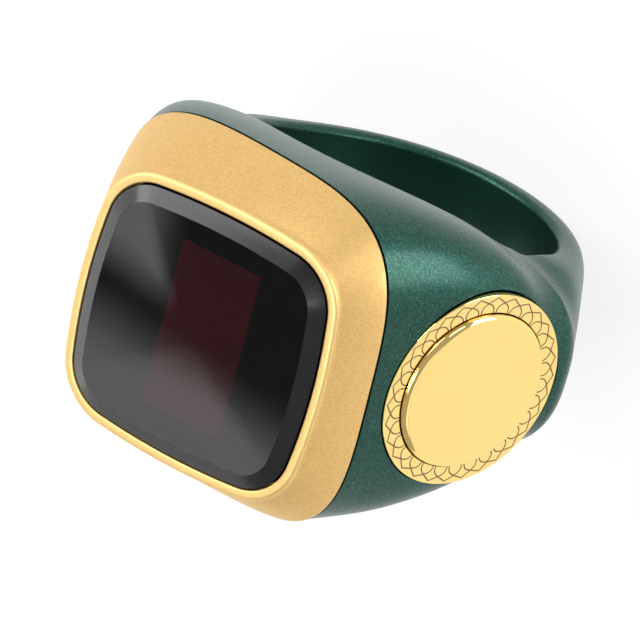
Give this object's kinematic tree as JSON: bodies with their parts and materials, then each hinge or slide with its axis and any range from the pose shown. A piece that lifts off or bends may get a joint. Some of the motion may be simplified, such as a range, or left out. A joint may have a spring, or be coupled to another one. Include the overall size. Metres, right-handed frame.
{
  "type": "finger_tally_counter",
  "caption": "Digital finger counter shaped like a signet ring: green metal ring body, gold bezel round a bevelled dark display, and a gold push button on the shoulder.",
  "frame": {"origin": "centre of the finger bore, at the middle of its length", "axes": "+Z out of the display face, +Y along the finger bore, +X towards the push button"},
  "size_m": [0.0308, 0.0211, 0.0329],
  "materials": {
    "green_coat": "satin metallic coat with a fine sparkle",
    "gold_blasted": "gold plated, fine sand-blasted grain",
    "gold_polished": "gold plated and polished",
    "black_glass": "tinted, polished, bevelled edge",
    "black_plastic": "moulded, fine grain",
    "black_rubber": "moulded sealing rubber",
    "board_green": "solder mask on glass-fibre board",
    "steel": "plain stainless steel",
    "foil_silver": "laminated foil pouch",
    "panel_black": "thin glass display panel, unlit, dark red tint",
    "flex_amber": "polyimide film over copper",
    "chip_black": "moulded chip package",
    "ceramic_white": "fired ceramic",
    "foam_grey": "closed-cell foam"
  },
  "bodies": {
    "housing": {"ring_body": "green_coat", "bezel": "gold_blasted", "bezel_seal": "black_rubber", "display_glass": "black_glass", "glass_seal": "black_rubber", "oled_panel": "panel_black", "display_flex": "flex_amber", "display_cushion": "foam_grey", "display_carrier": "black_plastic", "main_board": "board_green", "processor_chip": "chip_black", "power_chip": "chip_black", "clock_crystal": "steel", "antenna": "ceramic_white", "battery": "foil_silver", "battery_pad": "foam_grey", "battery_tab": "flex_amber", "motor_case": "steel", "motor_base": "steel", "motor_shaft": "steel", "inner_cover": "black_plastic", "inner_cover_seal": "black_rubber", "charge_contact_1": "gold_polished", "charge_magnet_1": "steel", "charge_contact_2": "gold_polished", "charge_magnet_2": "steel", "board_screw_1": "steel", "board_screw_2": "steel", "board_screw_3": "steel", "cover_screw_1": "steel", "cover_screw_2": "steel", "switch_flex": "flex_amber", "trim_ring": "gold_polished", "trim_seal": "black_rubber", "button_guide": "black_plastic", "button_spring": "steel", "tactile_switch": "steel", "switch_board": "board_green"},
    "button": {"button_cap": "gold_polished", "button_o_ring": "black_rubber", "button_clip": "steel"},
    "switch_top": {"switch_plunger": "black_plastic"},
    "rotor": {"motor_rotor": "steel"}
  },
  "joints": [
    {"name": "button_press", "type": "slide", "parent": "housing", "child": "button", "axis": [-0.9323, 0, -0.3616], "range_m": [0, 0.0004], "stiffness_N_per_m": 900, "springref_m": -0.0004, "deforming": ["button_spring"]},
    {"name": "switch_press", "type": "slide", "parent": "housing", "child": "switch_top", "axis": [-0.9323, 0, -0.3616], "range_m": [0, 0.0004]},
    {"name": "motor_spin", "type": "hinge", "parent": "housing", "child": "rotor", "pos_m": [0.004, 0.0014, 0.0122], "axis": [0, 0, 1], "continuous": true}
  ],
  "couplings": [
    {"joint": "switch_press", "follows": "button_press", "ratio": 1}
  ]
}
